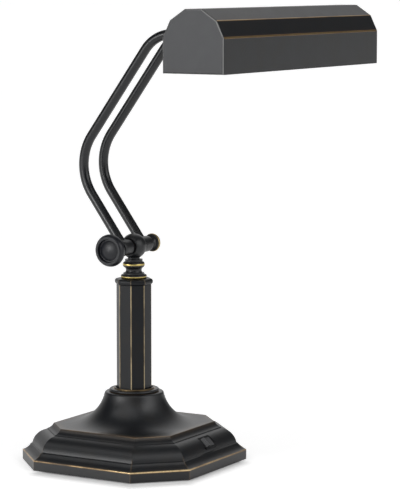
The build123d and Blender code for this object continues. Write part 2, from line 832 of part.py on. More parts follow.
with BuildPart() as shade_knuckle:
    revolve(ball_section(upper_side, shade_ball_r, shade_ball_flat), axis=upper_axis)
    with BuildSketch(Plane.XZ.offset(-shade_back_y - shade_flange_thickness)):
        with Locations((0, upper_z)):
            Circle(shade_stem_r)
    extrude(amount=-(shade_back_gap - shade_flange_thickness - axle_r - running_gap))
    with BuildSketch(Plane.XZ.offset(-shade_back_y - shade_flange_thickness)):
        with Locations((0, upper_z)):
            Circle(nipple_r + thread_play)
    extrude(amount=-nipple_depth, mode=Mode.SUBTRACT)
    with BuildSketch(Plane.XZ.offset(-shade_back_y)):  # the wires' way through
        with Locations((0, upper_z)):
            Circle(wire_bore_r)
    extrude(amount=-shade_back_gap, mode=Mode.SUBTRACT)
    extrude(axle_bore(upper_foot, shade_ball_flat), amount=2 * shade_ball_flat, mode=Mode.SUBTRACT)
save(shade_knuckle, "shade_knuckle")

with BuildPart() as shade_flange:
    with BuildSketch(Plane.XZ.offset(-shade_back_y)):
        with Locations((0, upper_z)):
            Circle(shade_flange_r)
            Circle(nipple_r + thread_play, mode=Mode.SUBTRACT)
    extrude(amount=-shade_flange_thickness)
    back_edges = shade_flange.edges().filter_by(GeomType.CIRCLE).group_by(Axis.Y)[-1]
    chamfer(back_edges.sort_by(SortBy.RADIUS)[-1], flange_edge)
save(shade_flange, "shade_flange")

with BuildPart() as shade_nipple:
    nipple_end = shade_y + cluster_r + cluster_boss_reach - nipple_depth
    nipple_start = shade_back_y + shade_flange_thickness + nipple_depth
    with BuildSketch(Plane.XZ.offset(-nipple_start)):
        with Locations((0, upper_z)):
            Circle(nipple_r)
            Circle(nipple_bore_r, mode=Mode.SUBTRACT)
    extrude(amount=nipple_start - nipple_end)
save(shade_nipple, "shade_nipple")

with BuildPart() as shade_nut:
    with BuildSketch(Plane.XZ.offset(-(shade_back_y - sheet))):
        with Locations((0, upper_z)):
            RegularPolygon(shade_nut_across / 2, 6, major_radius=False)
            Circle(nipple_r + thread_play, mode=Mode.SUBTRACT)
    extrude(amount=shade_nut_height)
save(shade_nut, "shade_nut")


# ---- shade ----


def shade_outline(corner_r):
    """The folded outline across the shade, standing on its open side, with rounded folds."""
    folds = [(shade_half, side_height), (haunch_half, haunch_height), (crown_half, shade_height)]
    far_folds = [(-across, height) for across, height in reversed(folds)]
    with BuildSketch() as outline:
        with BuildLine():
            Polyline((-shade_half, 0), (shade_half, 0), *folds, *far_folds, close=True)
        make_face()
        fillet(outline.vertices().filter_by_position(Axis.Y, side_height, shade_height), corner_r)
    return outline.sketch


with BuildPart() as shade_shell:
    with BuildSketch(shade_end.offset(-cap_x)):
        add(shade_outline(fold_r))
        offset(amount=-sheet, kind=Kind.INTERSECTION, mode=Mode.SUBTRACT)
        Rectangle(2 * (shade_half - sheet), 4 * sheet, mode=Mode.SUBTRACT)
    extrude(amount=2 * cap_x)
    with BuildSketch(Plane.XZ.offset(-shade_back_y)):
        with Locations((0, upper_z)):
            Circle(nipple_r + thread_play)
    extrude(amount=sheet, mode=Mode.SUBTRACT)
save(shade_shell, "shade_shell")


def build_end_cap(side):
    """A flat end of the shade with a low lip tucked inside the shell."""
    with BuildPart() as end_cap:
        with BuildSketch(shade_end.offset(-side * cap_x)):
            add(shade_outline(fold_r))
        extrude(amount=-side * end_plate)
        inner_face, *_, outer_face = end_cap.faces().sort_by(Axis((0, 0, 0), (side, 0, 0)))
        fillet(outer_face.edges(), end_edge_r)
        chamfer(inner_face.edges(), end_joint)
        with BuildSketch(shade_end.offset(-side * cap_x)):
            add(shade_outline(lip_bend_r + sheet + cap_play))
            offset(amount=-(sheet + cap_play), kind=Kind.INTERSECTION, mode=Mode.REPLACE)
            offset(amount=-sheet, kind=Kind.INTERSECTION, mode=Mode.SUBTRACT)
        extrude(amount=side * cap_lip)
    return end_cap


for name, side in sides.items():
    save(build_end_cap(side), f"end_cap_{name}")


# ---- lampholders and bulbs ----

with BuildPart() as socket_cluster:
    with BuildSketch(Plane.YZ):
        with Locations((shade_y, upper_z)):
            Circle(cluster_r)
    extrude(amount=cluster_half, both=True)
    with BuildSketch(Plane.XZ.offset(-shade_y)):
        with Locations((0, upper_z)):
            Circle(cluster_boss_r)
    extrude(amount=-(cluster_r + cluster_boss_reach))
    with BuildSketch(Plane.XZ.offset(-(shade_y + cluster_r + cluster_boss_reach))):
        with Locations((0, upper_z)):
            Circle(nipple_r + thread_play)
    extrude(amount=nipple_depth, mode=Mode.SUBTRACT)
save(socket_cluster, "socket_cluster")


def turned_along_bulb(side, *points):
    """A ring turned about the bulbs' axis from the corners of its section."""
    middle = Plane(origin=bulb_side.origin, x_dir=(side, 0, 0), z_dir=(0, -side, 0))
    with BuildSketch(middle) as section:
        Polygon(*points, align=None)
    return revolve(section.sketch, axis=bulb_axis)


def build_socket(side):
    """A lampholder's body: a cup with a thick floor."""
    with BuildPart() as socket:
        add(
            turned_along_bulb(
                side,
                (socket_start, 0),
                (socket_start, socket_r - socket_edge_r),
                (socket_start + socket_edge_r, socket_r),
                (socket_end, socket_r),
                (socket_end, socket_bore_r),
                (socket_start + socket_floor, socket_bore_r),
                (socket_start + socket_floor, 0),
            )
        )
    return socket


def build_bulb_glass(side):
    """A thin tubular envelope with a domed end and a short neck."""
    neck_end = bulb_start + bulb_cap_length
    tip = bulb_start + bulb_contact_rise + bulb_length
    neck_r = bulb_r_in_cap
    inside_r = bulb_r - bulb_wall
    middle = Plane(origin=bulb_side.origin, x_dir=(side, 0, 0), z_dir=(0, -side, 0))
    with BuildPart() as glass:
        with BuildSketch(middle):
            with BuildLine():
                outside = Polyline(
                    (neck_end - bulb_neck_length, neck_r),
                    (neck_end, neck_r),
                    (neck_end + bulb_neck_length, bulb_r),
                    (tip - bulb_r, bulb_r),
                )
                outside_dome = RadiusArc(outside @ 1, (tip, 0), bulb_r)
                inside_dome = RadiusArc((tip - bulb_r, inside_r), (tip - bulb_wall, 0), inside_r)
                Line(outside_dome @ 1, inside_dome @ 1)
                Polyline(
                    inside_dome @ 0,
                    (neck_end + bulb_neck_length, inside_r),
                    (neck_end, neck_r - bulb_wall),
                    (neck_end - bulb_neck_length, neck_r - bulb_wall),
                    outside @ 0,
                )
            make_face()
        revolve(axis=bulb_axis)
    return glass


for name, side in sides.items():
    save(build_socket(side), f"socket_{name}")
    save(build_bulb_glass(side), f"bulb_glass_{name}")

with BuildPart() as screw_shells:
    for side in sides.values():
        add(
            turned_along_bulb(
                side,
                (socket_start + socket_floor, shell_r - screw_shell_wall),
                (socket_start + socket_floor, shell_r),
                (socket_end - screw_shell_wall, shell_r),
                (socket_end - screw_shell_wall, shell_r - screw_shell_wall),
            )
        )
save(screw_shells, "screw_shells")

with BuildPart() as socket_contacts:
    for side in sides.values():
        with BuildSketch(Plane.YZ.offset(side * (socket_start + socket_floor))):
            with Locations((shade_y, upper_z)):
                Circle(contact_r)
        extrude(amount=side * contact_thickness)
save(socket_contacts, "socket_contacts")

with BuildPart() as bulb_caps:
    for side in sides.values():
        cap_floor = bulb_start + bulb_contact_rise
        add(
            turned_along_bulb(
                side,
                (cap_floor, contact_r),
                (cap_floor + bulb_contact_rise, bulb_cap_r),
                (bulb_start + bulb_cap_length, bulb_cap_r),
                (bulb_start + bulb_cap_length, bulb_cap_r - bulb_cap_wall),
                (cap_floor + bulb_contact_rise + bulb_cap_wall, bulb_cap_r - bulb_cap_wall),
                (cap_floor + bulb_cap_wall, contact_r),
            )
        )
save(bulb_caps, "bulb_caps")

with BuildPart() as bulb_contacts:
    for side in sides.values():
        with BuildSketch(Plane.YZ.offset(side * bulb_start)):
            with Locations((shade_y, upper_z)):
                Circle(contact_r - fit_gap)
        extrude(amount=side * (bulb_contact_rise + bulb_cap_wall))
save(bulb_contacts, "bulb_contacts")
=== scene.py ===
import bpy
import json
from math import cos, pi, radians, sin, sqrt
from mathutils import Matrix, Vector


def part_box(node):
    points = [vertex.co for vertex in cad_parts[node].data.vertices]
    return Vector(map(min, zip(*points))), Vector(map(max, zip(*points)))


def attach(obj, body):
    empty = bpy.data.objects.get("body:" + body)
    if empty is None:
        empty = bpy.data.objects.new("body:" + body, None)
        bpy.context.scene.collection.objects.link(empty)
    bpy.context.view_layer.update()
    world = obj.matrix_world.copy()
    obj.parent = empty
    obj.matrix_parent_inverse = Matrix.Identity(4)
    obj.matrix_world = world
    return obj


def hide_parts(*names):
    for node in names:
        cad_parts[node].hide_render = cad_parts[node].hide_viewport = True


# A desk and piano lamp in satin dark bronze paint, rubbed to gold along its edges.
# Sizes in the finishes are millimetres, on the lamp's own axes; everything else is in metres.

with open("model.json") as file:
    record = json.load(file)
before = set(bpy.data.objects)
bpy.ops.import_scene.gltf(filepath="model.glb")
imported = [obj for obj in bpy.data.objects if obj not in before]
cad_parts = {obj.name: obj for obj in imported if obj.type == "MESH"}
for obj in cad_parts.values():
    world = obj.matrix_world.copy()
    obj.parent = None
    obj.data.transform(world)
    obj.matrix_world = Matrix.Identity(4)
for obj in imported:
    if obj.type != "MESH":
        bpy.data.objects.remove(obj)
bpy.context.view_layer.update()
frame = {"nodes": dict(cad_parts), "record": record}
nodes = frame["nodes"]

MM = 0.001
scene = bpy.context.scene


# ---- sums and nodes ----


class Value:
    """A number that changes over a surface. A sum with one adds its Math node."""

    def __init__(self, graph, socket):
        self.graph = graph
        self.socket = socket

    def __add__(self, other):
        return self.graph.math("ADD", self, other)

    def __sub__(self, other):
        return self.graph.math("SUBTRACT", self, other)

    def __rsub__(self, other):
        return self.graph.math("SUBTRACT", other, self)

    def __mul__(self, other):
        return self.graph.math("MULTIPLY", self, other)

    def __truediv__(self, other):
        return self.graph.math("DIVIDE", self, other)

    def __rtruediv__(self, other):
        return self.graph.math("DIVIDE", other, self)

    def __abs__(self):
        return self.graph.math("ABSOLUTE", self)

    __radd__ = __add__
    __rmul__ = __mul__


class Graph:
    """Adds nodes to the tree of a finish, of the world or of a modifier."""

    def __init__(self, tree):
        self.tree = tree

    def feed(self, socket, given):
        """Link a socket, or set its value."""
        if isinstance(given, Value):
            self.tree.links.new(given.socket, socket)
        else:
            socket.default_value = given

    def node(self, kind, settings=None, sockets=None, output=0):
        """A new node's output. Its settings are made first, and then its sockets are fed."""
        made = self.tree.nodes.new(kind)
        for name, setting in (settings or {}).items():
            setattr(made, name, setting)
        for name, given in (sockets or {}).items():
            self.feed(made.inputs[name], given)
        return Value(self, made.outputs[output])

    def math(self, operation, first, second=0.0):
        return self.node("ShaderNodeMath", {"operation": operation}, {0: first, 1: second})

    def least(self, first, second):
        return self.math("MINIMUM", first, second)

    def most(self, first, second):
        return self.math("MAXIMUM", first, second)

    def length(self, first, second):
        """The length of the sides' diagonal."""
        return self.math("SQRT", first * first + second * second)

    def step(self, value, low, high, at_low=0.0, at_high=1.0):
        """A smooth step from one level to another as the value goes from low to high."""
        sockets = {0: value, 1: low, 2: high, 3: at_low, 4: at_high}
        return self.node("ShaderNodeMapRange", {"interpolation_type": "SMOOTHSTEP"}, sockets)

    def line(self, distance, width):
        """1 on a line, falling to 0 at the width from it."""
        return self.step(distance, 0.0, width, at_low=1.0, at_high=0.0)

    def blend(self, share, under, over):
        """The colour `over` laid on `under` by a share from 0 to 1."""
        sockets = {0: share, 6: under, 7: over}
        return self.node("ShaderNodeMix", {"data_type": "RGBA"}, sockets, output=2)

    def vector(self, x, y, z):
        return self.node("ShaderNodeCombineXYZ", None, {0: x, 1: y, 2: z})

    def split(self, place):
        """The three numbers of a place."""
        apart = self.node("ShaderNodeSeparateXYZ", None, {0: place}).socket.node
        return [Value(self, socket) for socket in apart.outputs]

    def seen_by(self, *rays):
        """1 for the named kinds of ray, and 0 for all others."""
        seen = 0.0
        for ray in rays:
            seen = self.most(seen, self.node("ShaderNodeLightPath", output=ray))
        return seen


class Finish(Graph):
    """A material with one shader, and the place on the surface in millimetres."""

    def __init__(self, name, **even):
        self.material = bpy.data.materials.new(name)
        self.material.use_nodes = True
        super().__init__(self.material.node_tree)
        self.shader = self.tree.nodes["Principled BSDF"]
        for socket, given in even.items():
            self.give(socket.replace("_", " "), given)
        self.place = self.node("ShaderNodeTexCoord", output="Object")
        self.x, self.y, self.z = [along / MM for along in self.split(self.place)]

    def give(self, socket, given):
        """Feed one of the shader's sockets."""
        self.feed(self.shader.inputs[socket], given)

    def so_far(self, socket):
        """What already feeds one of the shader's sockets."""
        return Value(self, self.shader.inputs[socket].links[0].from_socket)

    def noise(self, size, detail=2.0, stretch=(1.0, 1.0, 1.0), seed=0.0):
        """Cloudy variation from 0 to 1, whose clouds are about `size` millimetres."""
        shift = {"Location": (seed, seed, seed), "Scale": [s / (size * MM) for s in stretch]}
        place = self.node("ShaderNodeMapping", None, {"Vector": self.place, **shift})
        return self.node("ShaderNodeTexNoise", None, {"Vector": place, "Scale": 1.0, "Detail": detail})

    def cells(self, size):
        """The distance, from 0 to about 1, to the nearest of many scattered points."""
        shift = {"Scale": [1 / (size * MM)] * 3}
        place = self.node("ShaderNodeMapping", None, {"Vector": self.place, **shift})
        return self.node("ShaderNodeTexVoronoi", None, {"Vector": place, "Scale": 1.0})

    def relief(self, height, depth):
        """Bumps `depth` millimetres deep."""
        sockets = {"Strength": 1.0, "Distance": depth * MM, "Height": height}
        self.give("Normal", self.node("ShaderNodeBump", None, sockets))


def colour(red, green, blue):
    return (red, green, blue, 1.0)


# ---- places on the lamp ----


def corners(name):
    """A node's lowest and highest corner in millimetres."""
    low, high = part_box(name)
    return low / MM, high / MM


JOINTS = {joint["name"]: Vector(joint["pos_m"]) for joint in frame["record"]["behaviour"]["joints"]}

FOOT_HALF = corners("base_casting")[1].x  # from the middle to the long sides
FOOT_CORNER = 115.6  # from the middle to the cut corners
SLAB_EDGE_Z = 11.5
MITRE_HIGHLIGHT_FADE = (20.0, 27.0)  # the painted highlight on the mitres lies below these heights
PLATE_INSET = 31.7  # from the foot's side to the flat plate's edge
PLATE_Z = 41.1
STAIN_AND_SHEEN_INSET = 34.0  # the middle of the faint brown stain and painted sheen round the plate
BELL_RIM = (25.6, 74.6)  # radius and height, as in the next three
SEAT_RIM = (21.4, 78.4)
LOWER_BEAD = (12.9, 198.0)
UPPER_BEAD = (10.75, 211.4)
CAP_FOOT_Z = 190.0  # the column's edges are less worn from here up
END_KNOB_RIM = 9.6  # radius round the axle
END_KNOB_NECK_X = 34.5  # the small knob's rim is further out than this
AXLE_Z = JOINTS["arm_tilt"].z / MM

shade_low, shade_high = corners("shade_shell")
SHADE_Y = (shade_low.y + shade_high.y) / 2
SHADE_Z = shade_low.z
SHADE_HALF_LENGTH = corners("end_cap_right")[1].x
# The shade's folds, from the open side up: half the width there, and the height.
FOLDS = [(33.6, 34.5), (25.7, 50.9), (9.0, 61.9)]
FOLD_WEARS = [1.8, 1.6, 0.7]  # how far from each fold the paint is rubbed
FOLD_WEAR_RISE = 0.5  # the rubbed line lies this far above its fold
RIM_ROUND = 0.4  # how far inside the end caps' corner their rounded rim lies
SHEET_CORE = (0.5, 0.7)  # depths in the shade's sheet, between which paint gives way to enamel


def foot_insets(graph, x, y):
    """How far a place lies inside the foot's long sides, and inside its cut corners."""
    across = abs(x)
    along = abs(y)
    return FOOT_HALF - graph.most(across, along), FOOT_CORNER - (across + along) / sqrt(2)


def fold_depth(paint):
    """How deep a place lies inside the folded outline of the shade."""
    across = abs(paint.y - SHADE_Y)
    height = paint.z - SHADE_Z
    depth = paint.least(FOLDS[0][0] - across, FOLDS[-1][1] - height)
    for (wide, low), (narrow, high) in zip(FOLDS, FOLDS[1:]):
        run = sqrt((wide - narrow) ** 2 + (high - low) ** 2)
        out, up = (high - low) / run, (wide - narrow) / run
        depth = paint.least(depth, (wide * out + low * up) - (across * out + height * up))
    return depth


# ---- where the paint is rubbed: each gives a share from 0 to 1 ----


def foot_rub_and_sheen(paint):
    """Rubbed along the slab's and the plate's edges and round the bell, where the line is also a painted
    highlight. A faint painted highlight lies on the mitres, a painted sheen on the slab's sides, and a
    brown stain with a painted sheen round the plate.
    """
    from_side, from_corner = foot_insets(paint, paint.x, paint.y)
    inset = paint.least(from_side, from_corner)
    above_plate = paint.z - PLATE_Z
    diagonal = abs(paint.x + paint.y)
    slow = paint.noise(34.0, seed=3.0)
    slab = paint.line(paint.length(inset, paint.z - SLAB_EDGE_Z), width=2.2)
    slab = slab * paint.step(slow, 0.28, 0.52, at_low=0.7)
    plate = paint.line(paint.length(inset - PLATE_INSET, above_plate), width=1.2)
    plate = plate * paint.step(paint.noise(22.0, seed=7.0), 0.3, 0.6, at_low=0.2, at_high=0.62)
    # The edge lines are fuller round the front and back corners, fainter towards the left and right ones,
    # and a little fainter along the middles of the long sides.
    line_strength = paint.step(diagonal, 30.0, 165.0, at_low=0.66)
    from_turn = abs(abs(paint.x) - abs(paint.y))
    line_strength = line_strength * paint.step(from_turn, 40.0, 52.0, at_low=1.0, at_high=0.8)
    # A faint painted highlight along the mitres.
    mitre_highlight = 0.2 * paint.line(abs(from_side - from_corner), width=1.4)
    mitre_highlight = mitre_highlight * paint.step(paint.z, *MITRE_HIGHLIGHT_FADE, at_low=1.0, at_high=0.0)
    # A faint brown tint on the slab's sides, stronger on the left and right facets: a painted sheen.
    side = paint.line(inset, width=2.5) * paint.step(paint.z, SLAB_EDGE_Z + 0.5, SLAB_EDGE_Z - 1.0)
    side = side * paint.step(diagonal, 15.0, 60.0, at_low=0.08, at_high=0.05)
    # The brown line round the bell's rim is rubbed paint and also a painted highlight of a raised edge.
    from_rim = paint.length(paint.x, paint.y) - BELL_RIM[0]
    crown = 0.55 * paint.line(paint.length(from_rim, paint.z - BELL_RIM[1]), width=2.0)
    # A wide faint brown band round the plate: a brown stain and a painted reflection together.
    stain_and_sheen = 0.2 * paint.line(paint.length(inset - STAIN_AND_SHEEN_INSET, above_plate), width=9.0)
    marks = paint.most(paint.most(crown, mitre_highlight), paint.most(side, stain_and_sheen))
    return paint.most(paint.most(slab, plate) * line_strength, marks)


def column_rub(paint):
    """Rubbed along the eight edges, and less on the cap."""
    across = abs(paint.x)
    along = abs(paint.y)
    far = paint.most(across, along)
    near = paint.least(across, along)
    beside = abs(far * sin(pi / 8) - near * cos(pi / 8))
    slow = paint.noise(30.0, seed=3.0)
    below_cap = paint.step(paint.z, CAP_FOOT_Z - 0.5, CAP_FOOT_Z + 0.5, at_low=1.0, at_high=0.5)
    edge = paint.line(beside, width=1.1) * below_cap
    return edge * paint.step(slow, 0.3, 0.6, at_low=0.5, at_high=0.85)


def neck_rub(paint):
    """Rubbed round the two beads."""
    radius = paint.length(paint.x, paint.y)
    lower = paint.line(abs(paint.z - LOWER_BEAD[1]), width=1.5)
    lower = lower * paint.step(radius, LOWER_BEAD[0] - 0.3, LOWER_BEAD[0] + 0.3)
    upper = paint.line(abs(paint.z - UPPER_BEAD[1]), width=1.6)
    upper = upper * paint.step(radius, UPPER_BEAD[0] - 0.35, UPPER_BEAD[0] + 0.35)
    return paint.most(lower, upper)


def seat_rub(paint):
    """Rubbed round the upper edge of the ring at the column's foot."""
    from_rim = paint.length(paint.x, paint.y) - SEAT_RIM[0]
    return 0.85 * paint.line(paint.length(from_rim, paint.z - SEAT_RIM[1]), width=2.4)


def end_knob_rub(paint):
    """Rubbed round the rim of the small knob."""
    radius = paint.length(paint.y, paint.z - AXLE_Z)
    beyond = paint.step(paint.x, END_KNOB_NECK_X - 0.5, END_KNOB_NECK_X + 0.5)
    return paint.line(abs(radius - END_KNOB_RIM), width=0.5) * beyond


def shade_rub(paint):
    """Rubbed along the folds of the shade, outside."""
    across = abs(paint.y - SHADE_Y)
    height = paint.z - SHADE_Z
    slow = paint.noise(46.0, detail=3.0, stretch=(1.0, 3.0, 3.0), seed=4.0)
    rubbed = 0.0
    for (wide, high), width in zip(FOLDS, FOLD_WEARS):
        fold = paint.length(across - wide, height - (high + FOLD_WEAR_RISE))
        rubbed = paint.most(rubbed, paint.line(fold, width))
    return rubbed * paint.step(slow, 0.32, 0.62, at_low=0.6)


def cap_rim_highlight(paint):
    """A painted highlight round the rounded rim of an end cap, drawn like rubbed paint."""
    from_end = SHADE_HALF_LENGTH - abs(paint.x)
    rim = paint.length(fold_depth(paint) - RIM_ROUND, from_end - RIM_ROUND)
    return 0.8 * paint.line(rim, width=1.3)


# ---- paints ----

# The paint's two tones, which lie in clouds.
BRONZES = (colour(0.0036, 0.0045, 0.0062), colour(0.0060, 0.0056, 0.0058))
BLUE_BLACKS = (colour(0.0036, 0.0045, 0.0078), colour(0.0050, 0.0058, 0.0086))
# The end caps' tones are the shade's paint made lighter: painted light on the faces turned to the
# brightest lamps.
CAP_LIT_GREYS = (colour(0.0135, 0.0150, 0.0185), colour(0.0190, 0.0205, 0.0240))

# What shows where the paint is rubbed: the dull tone, and the bright one where it is bare.
FOOT_GOLDS = (colour(0.36, 0.235, 0.12), colour(0.86, 0.66, 0.36))
COLUMN_GOLDS = (colour(0.26, 0.20, 0.12), colour(0.44, 0.37, 0.23))
NECK_GOLDS = (colour(0.40, 0.29, 0.09), colour(0.76, 0.62, 0.22))
SEAT_GOLDS = (colour(0.13, 0.09, 0.05), colour(0.20, 0.15, 0.08))
KNOB_GOLDS = (colour(0.24, 0.17, 0.08), colour(0.46, 0.36, 0.17))
SHADE_GOLDS = (colour(0.36, 0.22, 0.10), colour(0.38, 0.28, 0.14))
# A painted highlight for the end caps' rounded rims, in light grey.
RIM_HIGHLIGHT_GREYS = (colour(0.22, 0.22, 0.22), colour(0.28, 0.28, 0.27))

ENAMEL = colour(0.80, 0.79, 0.76)


def bronze(name, rub_and_sheen=None, rubbed=FOOT_GOLDS, darks=BRONZES, roughness=0.40, peel=0.012, **even):
    """Dark bronze paint. The given share tells how far it is rubbed back to a dull and a bright metal;
    some shares also draw painted highlights and sheens the same way.
    """
    paint = Finish(name, IOR=1.5, **even)
    mottle = paint.noise(18.0, detail=4.0)
    fine = paint.noise(1.6, detail=3.0, seed=5.0)
    dark = paint.blend(paint.step(mottle, 0.42, 0.72), *darks)
    rough = roughness + 0.07 * (mottle - 0.5) + 0.05 * (fine - 0.5)
    paint.relief(paint.noise(0.9, seed=9.0), peel)
    if rub_and_sheen is None:
        paint.give("Base Color", dark)
        paint.give("Roughness", rough)
        return paint
    # The share holds rubbed paint and, for some finishes, painted highlights and sheens.
    share = rub_and_sheen(paint)
    worn = paint.step(share * (0.8 + 0.4 * fine), 0.34, 0.62)
    halo = 0.35 * paint.step(share, 0.02, 0.5) * (1.0 - worn)
    bright = paint.step(paint.noise(3.0, seed=2.0), 0.3, 0.6, at_low=0.5)
    bright = bright * paint.step(share, 0.45, 0.95)
    stained = paint.blend(halo, dark, rubbed[0])
    paint.give("Base Color", paint.blend(worn, stained, paint.blend(bright, *rubbed)))
    paint.give("Metallic", 0.9 * worn)
    paint.give("Roughness", rough - 0.06 * worn)
    return paint


def shade_paint(name, rub_and_sheen, **more):
    """Bronze paint outside the shade and white enamel inside."""
    paint = bronze(name, rub_and_sheen, roughness=0.42, **more)
    depth = paint.least(fold_depth(paint), SHADE_HALF_LENGTH - abs(paint.x))
    inside = paint.step(depth, *SHEET_CORE)
    paint.give("Base Color", paint.blend(inside, paint.so_far("Base Color"), ENAMEL))
    paint.give("Roughness", paint.so_far("Roughness") * (1.0 - inside) + 0.33 * inside)
    paint.give("Metallic", paint.so_far("Metallic") * (1.0 - inside))
    return paint


# ---- metals, plastics, glass ----


def plain(name, first, second, roughness, metallic=0.0, clouds=8.0, relief=0.01, grain=0.6, **even):
    """A finish of two near colours in clouds, with a fine grain."""
    made = Finish(name, Metallic=metallic, **even)
    cloud = made.noise(clouds, detail=4.0)
    fine = made.noise(grain, detail=3.0, seed=6.0)
    made.give("Base Color", made.blend(made.step(cloud, 0.35, 0.65), first, second))
    made.give("Roughness", roughness + 0.12 * (fine - 0.5) + 0.08 * (cloud - 0.5))
    made.relief(fine, relief)
    return made


def felt():
    """Dark felt: short fibres that lie both ways."""
    made = Finish("felt", Specular_IOR_Level=0.2, Sheen_Weight=0.4)
    fibres = 0.0
    for stretch in ((3.0, 1.0, 1.0), (1.0, 3.0, 1.0)):
        fibres = fibres + made.noise(0.5, detail=5.0, stretch=stretch)
    wool = made.blend(0.5 * fibres, colour(0.018, 0.022, 0.020), colour(0.05, 0.055, 0.052))
    made.give("Base Color", wool)
    made.give("Roughness", 0.85 + 0.1 * (fibres - 1.0))
    made.relief(fibres, 0.25)
    return made


def cast_iron():
    """Raw cast iron with a sandy skin and clouds of rust."""
    made = Finish("raw iron", Metallic=0.6)
    sand = made.noise(1.2, detail=5.0)
    rust = made.step(made.noise(14.0), 0.4, 0.7)
    made.give("Base Color", made.blend(rust, colour(0.09, 0.09, 0.095), colour(0.15, 0.11, 0.085)))
    made.give("Roughness", 0.62 + 0.2 * (sand - 0.5))
    made.relief(sand + 0.4 * made.cells(2.4), 0.25)
    return made


def frosted_glass():
    """Acid-frosted lamp glass, lit through from outside."""
    made = Finish("frosted glass", IOR=1.5, Transmission_Weight=0.35)
    frost = made.noise(0.35, detail=3.0)
    white = made.blend(made.noise(9.0), colour(0.90, 0.90, 0.88), colour(0.82, 0.82, 0.80))
    made.give("Base Color", white)
    made.give("Roughness", 0.42 + 0.2 * (frost - 0.5))
    made.relief(frost, 0.02)
    return made


METALS = {
    "zinc": plain("zinc plate", colour(0.52, 0.53, 0.54), colour(0.60, 0.59, 0.56), 0.34, metallic=1.0),
    "brass": plain("brass", colour(0.70, 0.50, 0.22), colour(0.76, 0.57, 0.28), 0.27, metallic=1.0),
    "bulb_cap": plain("cap metal", colour(0.74, 0.74, 0.75), colour(0.68, 0.68, 0.69), 0.25, metallic=1.0),
    "solder": plain(
        "solder", colour(0.50, 0.50, 0.50), colour(0.62, 0.62, 0.61), 0.42,
        metallic=1.0, grain=1.4, relief=0.08,
    ),
    "iron": cast_iron(),
}
PLASTICS = {
    "fibre": plain(
        "vulcanised fibre", colour(0.24, 0.09, 0.05), colour(0.30, 0.13, 0.08), 0.6,
        grain=0.4, relief=0.03,
    ),
    "plastic": plain(
        "black plastic", colour(0.010, 0.010, 0.011), colour(0.014, 0.014, 0.015), 0.52,
        grain=0.5, relief=0.02, Specular_IOR_Level=0.2,
    ),
    "rocker": plain(
        "rocker plastic", colour(0.050, 0.051, 0.054), colour(0.060, 0.061, 0.064), 0.36,
        grain=0.8, relief=0.006,
    ),
    "phenolic": plain(
        "phenolic", colour(0.035, 0.024, 0.019), colour(0.055, 0.036, 0.028), 0.28,
        clouds=3.0, grain=0.9, relief=0.008,
    ),
}
PAINTS = {
    "foot": bronze("foot paint", foot_rub_and_sheen),
    "column": bronze("column paint", column_rub, COLUMN_GOLDS, Specular_IOR_Level=0.27),
    "neck": bronze("neck paint", neck_rub, NECK_GOLDS),
    "seat": bronze("seat paint", seat_rub, SEAT_GOLDS),
    "turned": bronze("turned paint"),
    "tube": bronze("tube paint", roughness=0.27, peel=0.003),
    "end_knob": bronze("small knob paint", end_knob_rub, KNOB_GOLDS),
    "lock_knob": bronze("lock knob paint", darks=BLUE_BLACKS, roughness=0.38, Specular_IOR_Level=0.42),
    "shade": shade_paint("shade paint", shade_rub, rubbed=SHADE_GOLDS),
    # The end caps wear the shade's paint painted lighter, with a painted highlight round their rims.
    "end_cap": shade_paint("end cap paint", cap_rim_highlight, rubbed=RIM_HIGHLIGHT_GREYS, darks=CAP_LIT_GREYS),
}
FINISHES = {**PAINTS, **METALS, **PLASTICS, "felt": felt(), "glass": frosted_glass()}

# The nodes that wear each finish.
WEARERS = {
    "foot": ["base_casting"],
    "seat": ["column_seat"],
    "column": ["column_tube", "column_cap"],
    "neck": ["neck"],
    "turned": [
        "knuckle_ball", "lower_hub_left", "lower_hub_right", "upper_hub_left", "upper_hub_right",
        "upper_caps", "shade_knuckle", "shade_flange",
    ],
    "tube": ["arm_tube_left", "arm_tube_right"],
    "end_knob": ["end_knob"],
    "lock_knob": ["lock_knob"],
    "shade": ["shade_shell"],
    "end_cap": ["end_cap_left", "end_cap_right"],
    "zinc": [
        "bottom_cover", "cover_screws", "threaded_rod", "rod_washer", "rod_nut", "lower_axle",
        "upper_axle", "shade_nipple", "shade_nut",
    ],
    "brass": ["switch_terminals", "knob_insert", "screw_shells", "socket_contacts"],
    "bulb_cap": ["bulb_caps"],
    "solder": ["bulb_contacts"],
    "iron": ["base_weight"],
    "fibre": ["lower_washers", "upper_washers"],
    "plastic": ["cord_bushing", "switch_housing"],
    "rocker": ["switch_rocker"],
    "phenolic": ["socket_cluster", "socket_left", "socket_right"],
    "felt": ["felt_pad"],
    "glass": ["bulb_glass_left", "bulb_glass_right"],
}
for finish, wearers in WEARERS.items():
    for name in wearers:
        worn = nodes[name].data.materials
        worn.clear()
        worn.append(FINISHES[finish].material)

# ---- pieces grown from a rule ----


